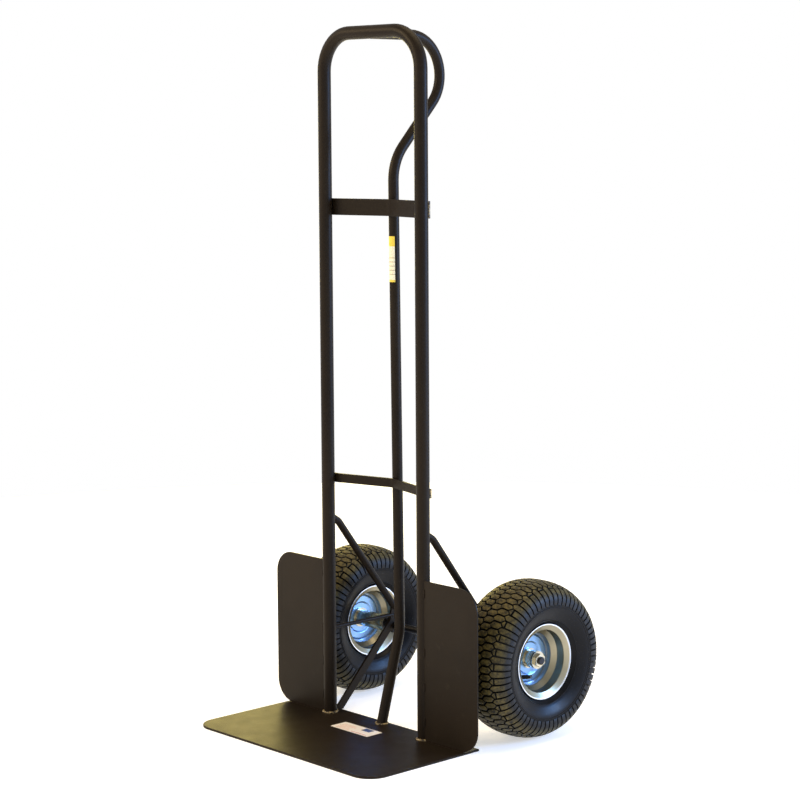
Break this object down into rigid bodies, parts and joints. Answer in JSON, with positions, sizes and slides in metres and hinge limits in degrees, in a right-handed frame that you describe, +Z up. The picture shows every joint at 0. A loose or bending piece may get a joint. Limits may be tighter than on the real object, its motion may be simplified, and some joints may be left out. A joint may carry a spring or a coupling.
{
  "type": "hand truck",
  "caption": "Upright steel hand truck with a looped tube frame, a P-shaped centre handle, a wide toe plate, wheel guards and two pneumatic turf wheels.",
  "frame": {"origin": "on the floor, under the toe plate, half way between the two stiles and in the plane of their centrelines", "axes": "+Z up, +X from the left wheel to the right wheel, -Y towards the load side, +Y towards the wheels and the operator"},
  "size_m": [0.7564, 0.7099, 1.677],
  "materials": {
    "powder_coat": "satin black powder coat",
    "tyre_rubber": "matte",
    "zinc_rim": "bright zinc plate",
    "zinc_hardware": "zinc plate",
    "bearing_steel": "ground, greased",
    "axle_steel": "black oiled",
    "black_rubber": "matte",
    "cap_plastic": "matte",
    "label_vinyl": "gloss"
  },
  "bodies": {
    "frame": {"main_frame": "powder_coat", "centre_handle": "powder_coat", "upper_crossbar": "powder_coat", "lower_crossbar": "powder_coat", "toe_plate": "powder_coat", "foot_welds": "powder_coat", "crossbar_welds": "powder_coat", "guard_welds": "powder_coat", "axle": "axle_steel", "axle_collars": "axle_steel", "axle_washers": "zinc_hardware", "axle_nuts": "zinc_hardware", "toe_plate_label": "label_vinyl", "handle_label": "label_vinyl", "side_plate_left": "powder_coat", "upper_brace_left": "powder_coat", "lower_brace_left": "powder_coat", "axle_strut_left": "powder_coat", "axle_hanger_left": "powder_coat", "bearing_cones_left": "bearing_steel", "side_plate_right": "powder_coat", "upper_brace_right": "powder_coat", "lower_brace_right": "powder_coat", "axle_strut_right": "powder_coat", "axle_hanger_right": "powder_coat", "bearing_cones_right": "bearing_steel"},
    "left_wheel": {"tyre_left": "tyre_rubber", "rim_outer_half_left": "zinc_rim", "rim_inner_half_left": "zinc_rim", "wheel_hub_left": "zinc_hardware", "bearing_cups_left": "bearing_steel", "bearing_balls_left": "bearing_steel", "bearing_seals_left": "black_rubber", "valve_stem_left": "black_rubber", "valve_cap_left": "cap_plastic"},
    "right_wheel": {"tyre_right": "tyre_rubber", "rim_outer_half_right": "zinc_rim", "rim_inner_half_right": "zinc_rim", "wheel_hub_right": "zinc_hardware", "bearing_cups_right": "bearing_steel", "bearing_balls_right": "bearing_steel", "bearing_seals_right": "black_rubber", "valve_stem_right": "black_rubber", "valve_cap_right": "cap_plastic"}
  },
  "joints": [
    {"name": "left_wheel_spin", "type": "hinge", "parent": "frame", "child": "left_wheel", "pos_m": [-0.3, 0.215, 0.187], "axis": [1, 0, 0], "continuous": true},
    {"name": "right_wheel_spin", "type": "hinge", "parent": "frame", "child": "right_wheel", "pos_m": [0.3, 0.215, 0.187], "axis": [1, 0, 0], "continuous": true}
  ]
}
